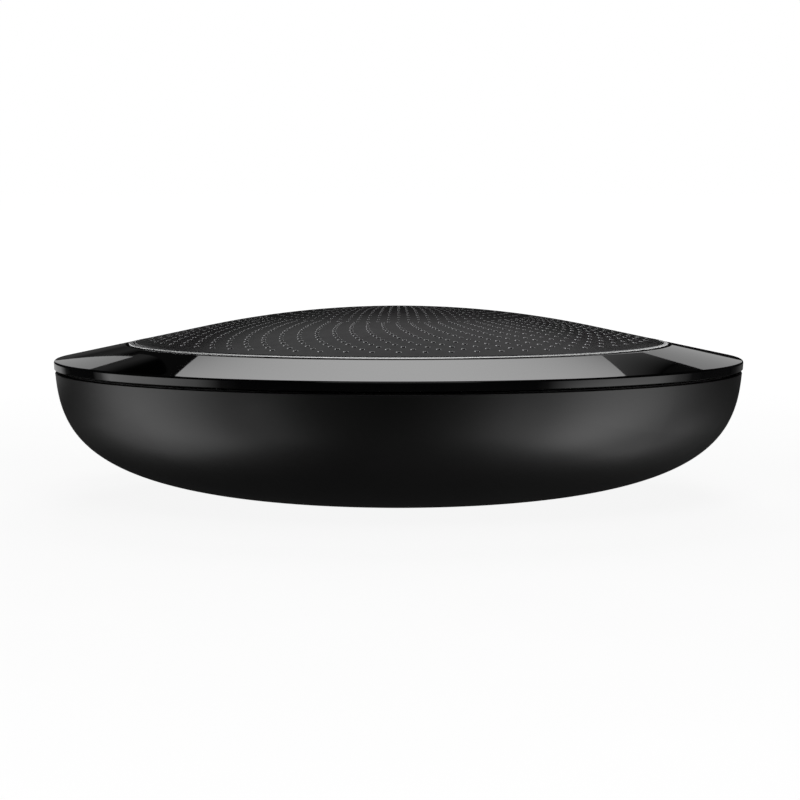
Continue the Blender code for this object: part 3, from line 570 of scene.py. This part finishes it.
def speaker_dome(material, edge_material):
    """The perforated grille, with a rounded outer edge and a skirt.

    One flat triangulation between the holes gives both faces of the sheet. Each hole then has a rounded
    rim, in the edge material, and a wall.
    """
    sheet = 0.7 * MM
    sides = 12
    rim_steps = 2
    edge = 0.18 * MM
    edge_steps = 3
    steps = 384
    skirt_inner = 44.83 * MM
    outer_loop = -1
    skirt_loop = -2
    holes = hole_layout()

    flat = []
    edges = []
    owner = []

    def add_loop(points, tag):
        first = len(flat)
        flat.extend(points)
        owner.extend([tag] * len(points))
        edges.extend((first + i, first + (i + 1) % len(points)) for i in range(len(points)))

    add_loop(circle(0.0, 0.0, GRILLE_OUTER - edge, steps), outer_loop)
    add_loop(circle(0.0, 0.0, skirt_inner, steps), skirt_loop)
    for index, (x, y, size) in enumerate(holes):
        add_loop(circle(x, y, size * RIM_REACH, sides), index)
    scaled = [Vector((x / MM, y / MM)) for x, y in flat]
    _, _, triangles, sources, _, _ = delaunay_2d_cdt(scaled, edges, [], 0, 1e-5)
    source = [item[0] for item in sources]

    bm = bmesh.new()
    normals = {}

    def vertex(x, y, drop):
        return bm.verts.new((x, y, top_z(math.hypot(x, y)) - drop))

    def face(corners, corner_normals):
        made = bm.faces.new(corners)
        normals[made] = corner_normals
        return made

    top = [vertex(x, y, 0.0) for x, y in flat]
    under = []
    for (x, y), tag in zip(flat, owner):
        if tag == outer_loop:
            under.append(None)
        elif tag == skirt_loop:
            under.append(vertex(x, y, sheet))
        else:
            cx, cy, _ = holes[tag]
            under.append(vertex(cx + (x - cx) / RIM_REACH, cy + (y - cy) / RIM_REACH, sheet))

    up = [dome_normal(x, y) for x, y in flat]
    for triangle in triangles:
        a, b, c = (source[i] for i in triangle)
        if owner[a] == owner[b] == owner[c] and owner[a] >= 0:
            continue
        face((top[a], top[b], top[c]), (up[a], up[b], up[c]))
        if outer_loop not in (owner[a], owner[b], owner[c]):
            face((under[c], under[b], under[a]), (-up[c], -up[b], -up[a]))

    for index, (x, y, size) in enumerate(holes):
        start = 2 * steps + index * sides
        rim = size * (RIM_REACH - 1)
        rows = [top[start : start + sides]]
        row_normals = [up[start : start + sides]]
        for step in range(1, rim_steps + 1):
            tilt = step / rim_steps * math.pi / 2
            wide = size + rim * (1 - math.sin(tilt))
            row = []
            tilted = []
            for i, (px, py) in enumerate(circle(x, y, wide, sides)):
                row.append(vertex(px, py, rim * (1 - math.cos(tilt))))
                inward = Vector(((x - px) / wide, (y - py) / wide, 0.0))
                tilted.append((up[start + i] * math.cos(tilt) + inward * math.sin(tilt)).normalized())
            rows.append(row)
            row_normals.append(tilted)
        rows.append(under[start : start + sides])
        row_normals.append(row_normals[-1])
        for depth in range(rim_steps + 1):
            row, low = rows[depth : depth + 2]
            n_row, n_low = row_normals[depth : depth + 2]
            for i in range(sides):
                j = (i + 1) % sides
                made = face((row[i], row[j], low[j], low[i]), (n_row[i], n_row[j], n_low[j], n_low[i]))
                made.material_index = int(depth < rim_steps)

    def level_ring(radius, z):
        return [bm.verts.new((x, y, z)) for x, y in circle(0.0, 0.0, radius, steps)]

    rows = [top[:steps]]
    crest = top_z(GRILLE_OUTER - edge)
    for step in range(1, edge_steps + 1):
        tilt = step / edge_steps * math.pi / 2
        radius = GRILLE_OUTER - edge * (1 - math.sin(tilt))
        rows.append(level_ring(radius, crest - edge * (1 - math.cos(tilt))))
    rows.append(level_ring(GRILLE_OUTER, GRILLE_LOW.z))
    rows.append(level_ring(skirt_inner, GRILLE_LOW.z))
    rows.append(under[steps : 2 * steps])
    for row, low in zip(rows, rows[1:]):
        for i in range(steps):
            j = (i + 1) % steps
            bm.faces.new((row[i], low[i], low[j], row[j]))

    mesh = bpy.data.meshes.new("speaker_dome")
    kept = [normals.get(item) for item in bm.faces]
    bm.to_mesh(mesh)
    bm.free()
    mesh.materials.append(material)
    mesh.materials.append(edge_material)
    mesh.shade_smooth()
    mesh.set_sharp_from_angle(angle=math.radians(40))
    loops = []
    for polygon, given in zip(mesh.polygons, kept):
        if given is None:
            loops += [(0.0, 0.0, 0.0)] * polygon.loop_total
        else:
            loops += [tuple(normal) for normal in given]
    mesh.normals_split_custom_set(loops)
    obj = bpy.data.objects.new("speaker_dome", mesh)
    bpy.context.scene.collection.objects.link(obj)
    return obj


# ---------------------------------------------------------------- plug and key at the back

PORT_Z = 12.3 * MM
RECESS_WIDTH = 13.2 * MM
RECESS_HEIGHT = 6.8 * MM
RECESS_FLOOR_Y = 52.4 * MM
BEZEL_WALL = 0.9 * MM
GAP = 0.3 * MM
PAST_SKIN_Y = 62 * MM
PORT_PLACE = Matrix.Translation((0, 0, PORT_Z))
KEY_ANGLE = 115
KEY_WIDTH = 12.0 * MM
KEY_HEIGHT = 4.0 * MM
KEY_STEPS = 16
# Half of the short flat in the middle of the key's round ends. It keeps their arcs from sharing a point.
END_FLAT = 0.01 * MM
KEY_PLACE = facing_out(0, KEY_ANGLE, 13.0 * MM)


def skin_cutter(proud, low_z, high_z):
    """The solid inside the bowl's outer face, or that far outside it, between two heights."""
    heights = spread(low_z, high_z, 40)
    skin = [(bowl_radius(z) + proud, z) for z in reversed(heights)]
    profile = [(0.0, high_z), *skin, (0.0, low_z)]
    return turned("skin_cutter", profile, None, 256)


def skin_normals(obj):
    """Gives faces that lie on the bowl's outline its own normals, so that cuts leave no marks on it."""
    mesh = obj.data
    mesh.shade_smooth()
    mesh.set_sharp_from_angle(angle=math.radians(30))
    loops = [(0.0, 0.0, 0.0)] * len(mesh.loops)
    for polygon in mesh.polygons:
        on_skin = True
        for index in polygon.vertices:
            x, y, z = mesh.vertices[index].co
            if abs(math.hypot(x, y) - bowl_radius(z)) > 0.04 * MM:
                on_skin = False
        if not on_skin or abs(polygon.normal.z) > 0.9:
            continue
        for loop_index in polygon.loop_indices:
            x, y, z = mesh.vertices[mesh.loops[loop_index].vertex_index].co
            nudge = 0.01 * MM
            tilt = (bowl_radius(z + nudge) - bowl_radius(z - nudge)) / (2 * nudge)
            loops[loop_index] = tuple(Vector((x, y, -tilt * math.hypot(x, y))).normalized())
    mesh.normals_split_custom_set(loops)


def cut_windows(obj):
    """Openings in the bowl for the port's frame and for the key."""
    width = RECESS_WIDTH + 2 * (BEZEL_WALL + GAP)
    height = RECESS_HEIGHT + 2 * (BEZEL_WALL + GAP)
    back = 48 * MM
    corner = 2.2 * MM
    window = bar("port_window", width, height, back, PAST_SKIN_Y, corner, None, PORT_PLACE)
    boolean(obj, window, "DIFFERENCE")
    width = KEY_WIDTH + 2 * GAP
    height = KEY_HEIGHT + 2 * GAP
    back = 49 * MM
    corner = height / 2 - END_FLAT
    window = bar("key_window", width, height, back, PAST_SKIN_Y, corner, None, KEY_PLACE, KEY_STEPS)
    boolean(obj, window, "DIFFERENCE")


def port_frame(material):
    """The frame round the plug's recess, with the opening for the receptacle in its floor."""
    width = RECESS_WIDTH + 2 * BEZEL_WALL
    height = RECESS_HEIGHT + 2 * BEZEL_WALL
    floor = RECESS_FLOOR_Y
    piece = bar("port_frame", width, height, floor - 1.3 * MM, PAST_SKIN_Y, 1.9 * MM, material, PORT_PLACE)
    boolean(piece, skin_cutter(-0.02 * MM, 6 * MM, 19 * MM), "INTERSECT")
    recess = bar("recess", RECESS_WIDTH, RECESS_HEIGHT, floor, PAST_SKIN_Y, 1.2 * MM, None, PORT_PLACE)
    boolean(piece, recess, "DIFFERENCE")
    aperture = bar("aperture", 9.6 * MM, 3.8 * MM, 50 * MM, 54 * MM, 1.5 * MM, None, PORT_PLACE)
    boolean(piece, aperture, "DIFFERENCE")
    piece.data.shade_smooth()
    piece.data.set_sharp_from_angle(angle=math.radians(30))
    return soften(piece, 0.12 * MM)


def receptacle(material):
    """The metal shell of the USB-C receptacle."""
    width = 8.94 * MM
    height = 3.16 * MM
    wall = 0.3 * MM
    corner = 1.5 * MM
    back = 45.0 * MM
    front = 52.2 * MM
    steps = 12
    shell = bar("usb_c_shell", width, height, back, front, corner, material, PORT_PLACE, steps)
    width -= 2 * wall
    height -= 2 * wall
    corner -= wall
    back += 0.8 * MM
    front += 0.8 * MM
    boolean(shell, bar("inside", width, height, back, front, corner, None, PORT_PLACE, steps), "DIFFERENCE")
    shell.data.shade_smooth()
    shell.data.set_sharp_from_angle(angle=math.radians(30))
    return soften(shell, 0.06 * MM)


def contact_tongue(insulator, gold):
    """The tongue in the receptacle with twelve contacts on each side."""
    low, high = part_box("usb_c_tongue")
    middle = (low + high) / 2
    place = Matrix.Translation((0, 0, middle.z))
    thick = high.z - low.z - 0.06 * MM
    tongue = bar("contact_tongue", high.x - low.x, thick, low.y, high.y, 0.12 * MM, insulator, place, 4)
    soften(tongue, 0.05 * MM)
    pitch = 0.5 * MM
    half = 0.13 * MM
    proud = 0.025 * MM
    back = low.y + 0.6 * MM
    front = high.y - 0.35 * MM
    outline = ((-half, back), (half, back), (half, front), (-half, front))
    box_faces = ((0, 3, 2, 1), (4, 5, 6, 7), (0, 1, 5, 4), (1, 2, 6, 5), (2, 3, 7, 6), (3, 0, 4, 7))
    verts = []
    faces = []
    for side in (-1, 1):
        z = middle.z + side * (thick / 2)
        lift = side * proud
        for i in range(12):
            x = (i - 5.5) * pitch
            start = len(verts)
            for dz in (-lift, lift):
                verts += [(x + px, py, z + dz) for px, py in outline]
            for quad in box_faces:
                corners = [start + k for k in quad]
                faces.append(corners if side > 0 else corners[::-1])
    contacts = add_mesh("contacts", verts, faces, gold, 20)
    return tongue, contacts


def power_key(material):
    """The oval key, with the flange and the stem behind it."""
    corner = KEY_HEIGHT / 2 - END_FLAT
    back = 50.9 * MM
    key = bar("key_face", KEY_WIDTH, KEY_HEIGHT, back, PAST_SKIN_Y, corner, material, KEY_PLACE, KEY_STEPS)
    boolean(key, skin_cutter(0.3 * MM, 8 * MM, 18 * MM), "INTERSECT")
    key.data.shade_smooth()
    key.data.set_sharp_from_angle(angle=math.radians(30))
    soften(key, 0.25 * MM, 3)
    flange = bar("key_flange", 14.4 * MM, 6.0 * MM, 50.3 * MM, 51.2 * MM, 1.5 * MM, material, KEY_PLACE)
    stem = bar("key_stem", 3.0 * MM, 2.0 * MM, 49.85 * MM, 50.6 * MM, 0.4 * MM, material, KEY_PLACE)
    flange.parent = key
    stem.parent = key
    return key


# ---------------------------------------------------------------- build the outside

black_plastic = satin_black()
gold = plated("gold_plate", (0.83, 0.6, 0.25), 0.25)

shell = bowl(black_plastic)
cut_windows(shell)
skin_normals(shell)
settle(shell, HOUSING, "lower_shell")
touch_ring = settle(gloss_ring(gloss_black()), HOUSING, "control_ring")
inner_black = moulded("inner_black", (0.012, 0.012, 0.0125), 0.55)
# inner_black on the silver ring's sides is painted shade for the gaps beside it.
silver = settle(silver_ring(brushed_silver(), inner_black), HOUSING, "trim_ring")
plain_metal = grille_black("grille_black", 0.03, 0.24, 0.45)
rim_metal = grille_black("grille_rims", 0.2, 0.13, 1.0)
dome = settle(speaker_dome(plain_metal, rim_metal), HOUSING, "speaker_grille")
settle(foot_pad(rubber("foot_rubber")), HOUSING, "foot_ring")
settle(port_frame(inner_black), HOUSING, "port_bezel")
settle(receptacle(plated("drawn_steel", (0.55, 0.55, 0.56), 0.25)), HOUSING, "usb_c_receptacle")
tongue, contacts = contact_tongue(moulded("port_insulator", (0.01, 0.01, 0.01), 0.45), gold)
settle(tongue, HOUSING, "usb_c_tongue")
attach(contacts, HOUSING)
key = power_key(black_plastic)
settle(key, KEY, "power_button")

# ---------------------------------------------------------------- materials of the inner pieces

board_green = circuit_board()
mic_rubber = rubber("mic_rubber", (0.014, 0.014, 0.015))
steel = plated("rolled_steel", (0.5, 0.5, 0.51), 0.32)
screw_steel = plated("screw_steel", (0.16, 0.16, 0.17), 0.35)
ivory = moulded("ivory_plastic", (0.66, 0.62, 0.5), 0.45, 0.9)
cone_paper = woven("cone_paper", (0.02, 0.02, 0.022), 1300.0)
finishes = {
    "acoustic_cloth": woven("acoustic_cloth", (0.006, 0.006, 0.0065)),
    "battery_connector": ivory,
    "battery_lead_negative": moulded("black_wire", (0.012, 0.012, 0.012), 0.4),
    "battery_lead_positive": moulded("red_wire", (0.42, 0.012, 0.01), 0.4),
    "battery_pack": moulded("battery_wrap", (0.04, 0.09, 0.24), 0.35),
    "board_screw": screw_steel,
    "chamber_screw": screw_steel,
    "cone": cone_paper,
    "driver_basket": plated("stamped_steel", (0.3, 0.3, 0.31), 0.42),
    "driver_magnet": moulded("ferrite", (0.035, 0.033, 0.032), 0.62),
    "driver_screw": screw_steel,
    "driver_top_plate": steel,
    "driver_yoke": steel,
    "dust_cap": cone_paper,
    "housing_screw": screw_steel,
    "light_guide": light_guide(),
    "main_board": board_green,
    "mic_board": board_green,
    "mic_boot": mic_rubber,
    "mic_capsule": steel,
    "power_switch": ivory,
    "shield_can": steel,
    "speaker_chamber": inner_black,
    "speaker_connector": ivory,
    "spider": woven("spider_cloth", (0.34, 0.22, 0.1), 1500.0),
    "surround": rubber("surround_rubber"),
    "terminal_strip": ivory,
    "top_frame": inner_black,
    "touch_board": board_green,
    "touch_ribbon": moulded("ribbon_film", (0.42, 0.2, 0.04), 0.3),
    "voice_coil": winding(),
}
finishes["speaker_wire_positive"] = finishes["battery_lead_positive"]
finishes["speaker_wire_negative"] = finishes["battery_lead_negative"]


def finish_of(name):
    if name in finishes:
        return finishes[name]
    return finishes[name.rsplit("_", 1)[0]]


replaced = {
    "lower_shell", "control_ring", "trim_ring", "speaker_grille", "foot_ring",
    "port_bezel", "usb_c_receptacle", "usb_c_tongue", "power_button",
}
for name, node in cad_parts.items():
    if name in replaced:
        continue
    if not node.material_slots:
        node.data.materials.append(finish_of(name))
    for slot in node.material_slots:
        slot.material = finish_of(name)

# ---------------------------------------------------------------- stage, lights and camera


def direction(azimuth, elevation):
    """Azimuth 0 is straight back (+Y) and grows towards +X."""
    around = math.radians(azimuth)
    up = math.radians(elevation)
    return Vector((math.sin(around) * math.cos(up), math.cos(around) * math.cos(up), math.sin(up)))


def ramp(tree, source, stops):
    """A piecewise linear grey ramp through these (place, value) stops, over places 0 to 1."""
    node = tree.nodes.new("ShaderNodeValToRGB")
    points = node.color_ramp.elements
    while len(points) < len(stops):
        points.new(0.5)
    for point, (place, value) in zip(points, stops):
        point.position = place
        point.color = (value, value, value, 1.0)
    tree.links.new(source, node.inputs["Fac"])
    return node.outputs["Color"]


EVEN = ((0.0, 1.0), (1.0, 1.0))
NEAR = 3.0
FAR = 6.0


def softbox(
    name, azimuths, elevations, radiance, upwards=EVEN, across=EVEN, flare=0.0, only=None, distance=NEAR
):
    """A glowing panel that fills these angles as seen from the object.

    Its brightness follows one ramp from its bottom edge to its top one, and another from its left side
    to its right. With a flare, the top is wider by that many degrees at each side. Given some objects,
    it lights only those. It stands at the given distance. The grille's panels are given FAR, since
    nearer they would hide a panel that lights the rest.
    """
    middle = sum(azimuths) / 2
    reach = azimuths[1] - middle
    turned_to = Matrix.Rotation(-math.radians(middle), 4, "Z")
    corners = [
        direction(-reach, elevations[0]) * distance,
        direction(reach, elevations[0]) * distance,
        direction(reach + flare, elevations[1]) * distance,
        direction(-reach - flare, elevations[1]) * distance,
    ]
    mesh = bpy.data.meshes.new(name)
    mesh.from_pydata(corners, [], [(0, 1, 2, 3)])
    panel_map = mesh.uv_layers.new(name="panel")
    for loop, place in zip(panel_map.data, ((0, 0), (1, 0), (1, 1), (0, 1))):
        loop.uv = place
    material = bpy.data.materials.new(name)
    material.use_nodes = True
    tree = material.node_tree
    tree.nodes.clear()
    place = tree.nodes.new("ShaderNodeTexCoord")
    parts = tree.nodes.new("ShaderNodeSeparateXYZ")
    strength = tree.nodes.new("ShaderNodeMath")
    strength.operation = "MULTIPLY"
    strength.inputs[1].default_value = radiance
    product = tree.nodes.new("ShaderNodeMath")
    product.operation = "MULTIPLY"
    glow = tree.nodes.new("ShaderNodeEmission")
    output = tree.nodes.new("ShaderNodeOutputMaterial")
    tree.links.new(place.outputs["UV"], parts.inputs["Vector"])
    tree.links.new(ramp(tree, parts.outputs["X"], across), product.inputs[0])
    tree.links.new(ramp(tree, parts.outputs["Y"], upwards), product.inputs[1])
    tree.links.new(product.outputs["Value"], strength.inputs[0])
    tree.links.new(strength.outputs["Value"], glow.inputs["Strength"])
    tree.links.new(glow.outputs["Emission"], output.inputs["Surface"])
    mesh.materials.append(material)
    panel = bpy.data.objects.new(name, mesh)
    bpy.context.scene.collection.objects.link(panel)
    panel.matrix_world = Matrix.Translation((0, 0, RIM_TOP_Z)) @ turned_to
    panel.visible_camera = False
    panel.visible_shadow = False
    if only:
        lit = bpy.data.collections.new(name)
        for obj in only:
            lit.objects.link(obj)
        panel.light_linking.receiver_collection = lit


def back_lights():
    """The panels behind the object, which the glossy ring and the dome mirror towards the camera."""
    rising = ((0.0, 0.0), (0.48, 1.0), (1.0, 1.0))
    softbox("back_softbox", (-7.38, 7.56), (15.2, 42.0), 1.52, upwards=rising, flare=9.6)
    fading = ((0.0, 1.0), (0.25, 1.0), (0.4, 0.42), (0.52, 0.05), (0.62, 0.0), (1.0, 0.0))
    softbox("left_back_glow", (-11.2, -9.6), (13.0, 21.0), 0.036, upwards=fading)
    dipping = ((0.0, 1.0), (0.5, 0.9), (0.65, 0.35), (0.85, 0.6), (1.0, 0.0))
    softbox("left_horizon_glow", (-9.8, -6.0), (-6.0, 12.0), 0.05, upwards=dipping)
    softbox("right_back_glow", (8.4, 10.4), (13.0, 26.0), 0.18, across=((0.0, 1.0), (1.0, 0.0)))
    softbox("left_panel", (-15.0, -9.83), (0.5, 13.7), 0.42)
    softbox("right_panel", (5.5, 15.0), (3.4, 14.2), 0.42, only=(touch_ring, silver, shell))


def side_lights():
    """The panels at both sides, which shade the bowl and the narrow band round the rim."""
    falling = ((0.0, 0.6), (0.3, 1.1), (0.7, 0.95), (0.85, 1.0), (1.0, 1.0))
    left_ends = (
        (0.0, 0.0), (0.12, 0.05), (0.25, 0.65), (0.37, 0.88),
        (0.5, 1.0), (0.75, 0.95), (0.87, 0.2), (1.0, 0.0),
    )
    softbox("left_softbox", (-129.0, -62.0), (-48.0, 7.0), 1.66, upwards=falling, across=left_ends)
    sagging = ((0.0, 1.2), (0.3, 1.7), (0.6, 1.3), (0.8, 0.95), (1.0, 1.0))
    right_ends = (
        (0.0, 0.0), (0.12, 0.02), (0.23, 0.25), (0.34, 0.8), (0.46, 1.0),
        (0.57, 1.0), (0.68, 0.8), (0.8, 0.35), (0.9, 0.05), (1.0, 0.0),
    )
    softbox("right_softbox", (62.0, 136.0), (-48.0, 7.0), 1.55, upwards=sagging, across=right_ends)
    soft_ends = ((0.0, 0.0), (0.4, 1.0), (0.6, 1.0), (1.0, 0.0))
    softbox("left_low_front_panel", (-142.0, -106.0), (-48.0, -11.0), 2.5, across=soft_ends)
    softbox("right_low_front_panel", (108.0, 150.0), (-48.0, -11.0), 2.3, across=soft_ends)
    softbox("left_low_rear_panel", (-96.0, -52.0), (-48.0, -20.0), 2.1, across=soft_ends)
    softbox("right_low_rear_panel", (52.0, 108.0), (-48.0, -20.0), 3.6, across=soft_ends)
    left_rise = ((0.0, 0.0), (0.19, 0.08), (0.42, 1.0), (1.0, 1.0))
    softbox("left_rear_panel", (-44.0, -12.0), (-5.4, -2.0), 0.45, across=left_rise)
    right_fall = ((0.0, 1.0), (0.4, 0.9), (0.7, 0.25), (1.0, 0.0))
    softbox("right_rear_panel", (12.0, 40.0), (-5.4, -2.0), 0.09, across=right_fall)


def grille_lights():
    """The panels for the dome and the silver ring alone. The side one lights the rims of the holes."""
    metal = (dome, silver)
    softbox("grille_left_softbox", (-20.0, -12.5), (4.0, 34.0), 2.6, only=metal, distance=FAR)
    softbox("grille_kicker", (10.5, 16.5), (10.0, 34.0), 2.2, only=metal, distance=FAR)
    softbox("grille_side_softbox", (38.0, 84.0), (12.0, 52.0), 3.0, only=(dome,), distance=FAR)


def studio():
    back_lights()
    side_lights()
    grille_lights()
    softbox("top_softbox", (-35.0, 35.0), (58.0, 122.0), 0.4)
    softbox("front_softbox", (150.0, 210.0), (34.0, 62.0), 0.7)
    studio_world()


def studio_world():
    """White to the camera, nearly black to everything else."""
    world = bpy.data.worlds.new("studio_world")
    world.use_nodes = True
    tree = world.node_tree
    path = tree.nodes.new("ShaderNodeLightPath")
    mix = tree.nodes.new("ShaderNodeMixShader")
    seen = tree.nodes.new("ShaderNodeBackground")
    seen.inputs["Color"].default_value = (1.0, 1.0, 1.0, 1.0)
    lit = tree.nodes["Background"]
    lit.inputs["Color"].default_value = (0.006, 0.006, 0.006, 1.0)
    tree.links.new(path.outputs["Is Camera Ray"], mix.inputs["Fac"])
    tree.links.new(lit.outputs["Background"], mix.inputs[1])
    tree.links.new(seen.outputs["Background"], mix.inputs[2])
    tree.links.new(mix.outputs["Shader"], tree.nodes["World Output"].inputs["Surface"])
    bpy.context.scene.world = world


def pale_floor():
    """A pale sheet that the camera sees. It throws no light back at the object."""
    half = 40.0
    corners = [(-half, -half, 0.0), (half, -half, 0.0), (half, half, 0.0), (-half, half, 0.0)]
    shader = Shader("pale_floor", (0.3, 0.3, 0.3), 0.9)
    shader.surface.inputs["Emission Color"].default_value = (1.0, 1.0, 1.0, 1.0)
    distance = shader.node("ShaderNodeVectorMath")
    distance.operation = "LENGTH"
    shader.link(shader.position(), distance.inputs[0])
    fade = shader.node("ShaderNodeMapRange")
    fade.inputs["From Min"].default_value = 0.08
    fade.inputs["From Max"].default_value = 0.5
    fade.inputs["To Min"].default_value = 0.9
    fade.inputs["To Max"].default_value = 1.0
    shader.link(distance.outputs["Value"], fade.inputs["Value"])
    shader.link(fade.outputs["Result"], shader.surface.inputs["Emission Strength"])
    shader.vary_roughness(shader.noise(30.0), 0.8, 0.95)
    floor = add_mesh("pale_floor", corners, [(0, 1, 2, 3)], shader.material)
    floor.location.z = -0.02 * MM
    floor.visible_glossy = False
    floor.visible_diffuse = False
    floor.visible_shadow = False


def place_camera():
    data = bpy.data.cameras.new("camera")
    data.lens = 122.6
    data.sensor_width = 36.0
    data.shift_x = 0.00175
    camera = bpy.data.objects.new("camera", data)
    camera.location = (0.0, -0.47699, 0.05279)
    camera.rotation_euler = (math.radians(90.0 - 4.3785), 0.0, 0.0)
    bpy.context.scene.collection.objects.link(camera)
    bpy.context.scene.camera = camera


studio()
pale_floor()
place_camera()
bpy.context.scene.view_settings.view_transform = "Standard"
bpy.context.scene.view_settings.look = "None"
